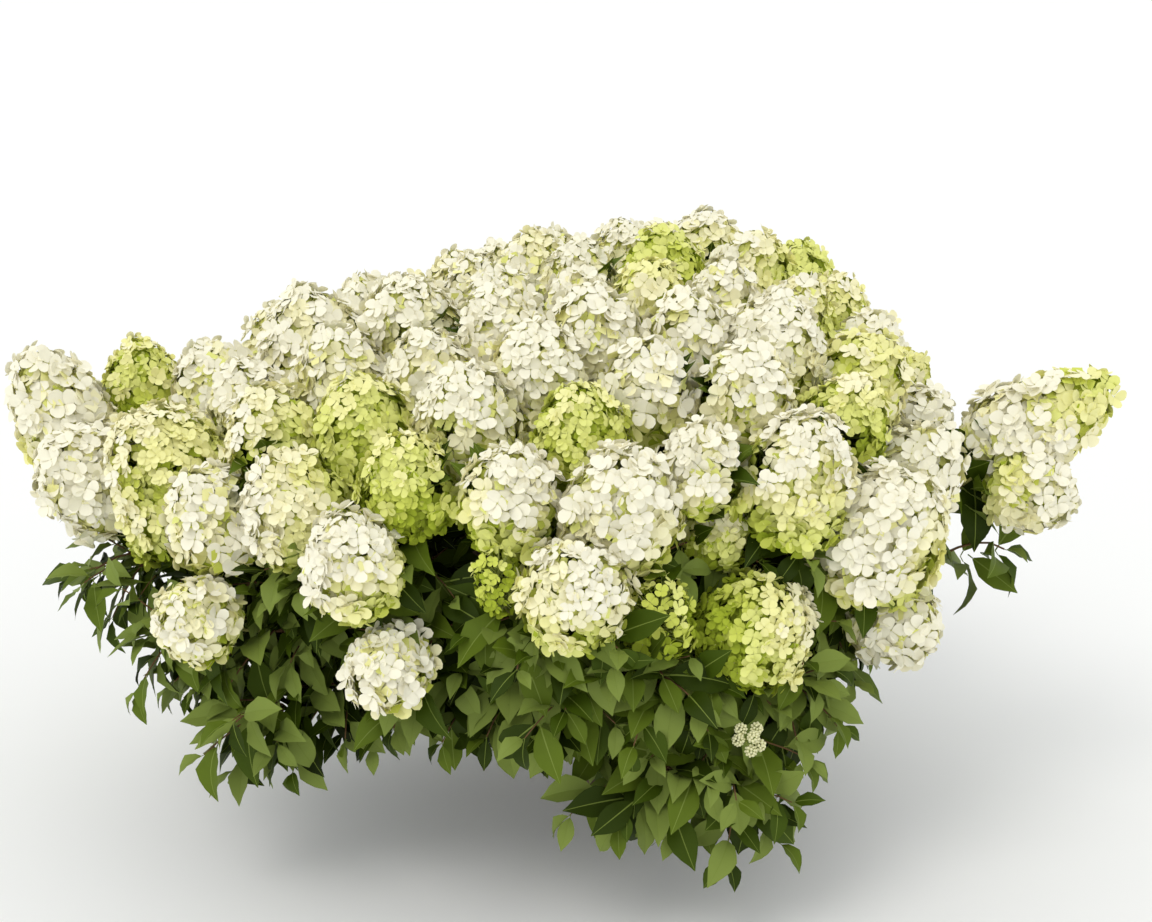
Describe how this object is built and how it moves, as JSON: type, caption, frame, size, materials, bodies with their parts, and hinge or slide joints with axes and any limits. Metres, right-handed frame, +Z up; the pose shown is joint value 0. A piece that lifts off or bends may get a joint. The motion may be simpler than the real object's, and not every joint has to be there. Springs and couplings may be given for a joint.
{
  "type": "panicle hydrangea shrub",
  "caption": "A wide low panicle hydrangea in full bloom, rooted in the ground: cone-shaped heads of cream and lime florets over a skirt of drooping green leaves.",
  "frame": {"origin": "middle of the stem's flat cut at ground level", "axes": "+Z up along the stem, +X to the viewer's right along the shrub's widest spread, +Y away from the viewer"},
  "size_m": [1.3861, 0.9546, 0.7435],
  "materials": {
    "bark": "dry, finely cracked",
    "foliage_and_blossom": "matt"
  },
  "bodies": {
    "root": {"stem": "bark", "crown_1_bough": "bark", "crown_1_mass": "foliage_and_blossom", "crown_2_bough": "bark", "crown_2_mass": "foliage_and_blossom", "crown_3_bough": "bark", "crown_3_mass": "foliage_and_blossom", "crown_4_bough": "bark", "crown_4_mass": "foliage_and_blossom", "crown_5_bough": "bark", "crown_5_mass": "foliage_and_blossom", "crown_6_bough": "bark", "crown_6_mass": "foliage_and_blossom", "crown_7_bough": "bark", "crown_7_mass": "foliage_and_blossom", "crown_8_bough": "bark", "crown_8_mass": "foliage_and_blossom", "crown_9_bough": "bark", "crown_9_mass": "foliage_and_blossom", "crown_10_bough": "bark", "crown_10_mass": "foliage_and_blossom", "crown_11_bough": "bark", "crown_11_mass": "foliage_and_blossom", "crown_12_bough": "bark", "crown_12_mass": "foliage_and_blossom", "skirt_1_bough": "bark", "skirt_1_mass": "foliage_and_blossom", "skirt_2_bough": "bark", "skirt_2_mass": "foliage_and_blossom", "skirt_3_bough": "bark", "skirt_3_mass": "foliage_and_blossom", "skirt_4_bough": "bark", "skirt_4_mass": "foliage_and_blossom", "skirt_5_bough": "bark", "skirt_5_mass": "foliage_and_blossom", "skirt_6_bough": "bark", "skirt_6_mass": "foliage_and_blossom", "skirt_7_bough": "bark", "skirt_7_mass": "foliage_and_blossom", "skirt_8_bough": "bark", "skirt_8_mass": "foliage_and_blossom", "right_wing_bough": "bark", "right_wing_mass": "foliage_and_blossom", "left_wing_bough": "bark", "left_wing_mass": "foliage_and_blossom"}
  },
  "joints": []
}
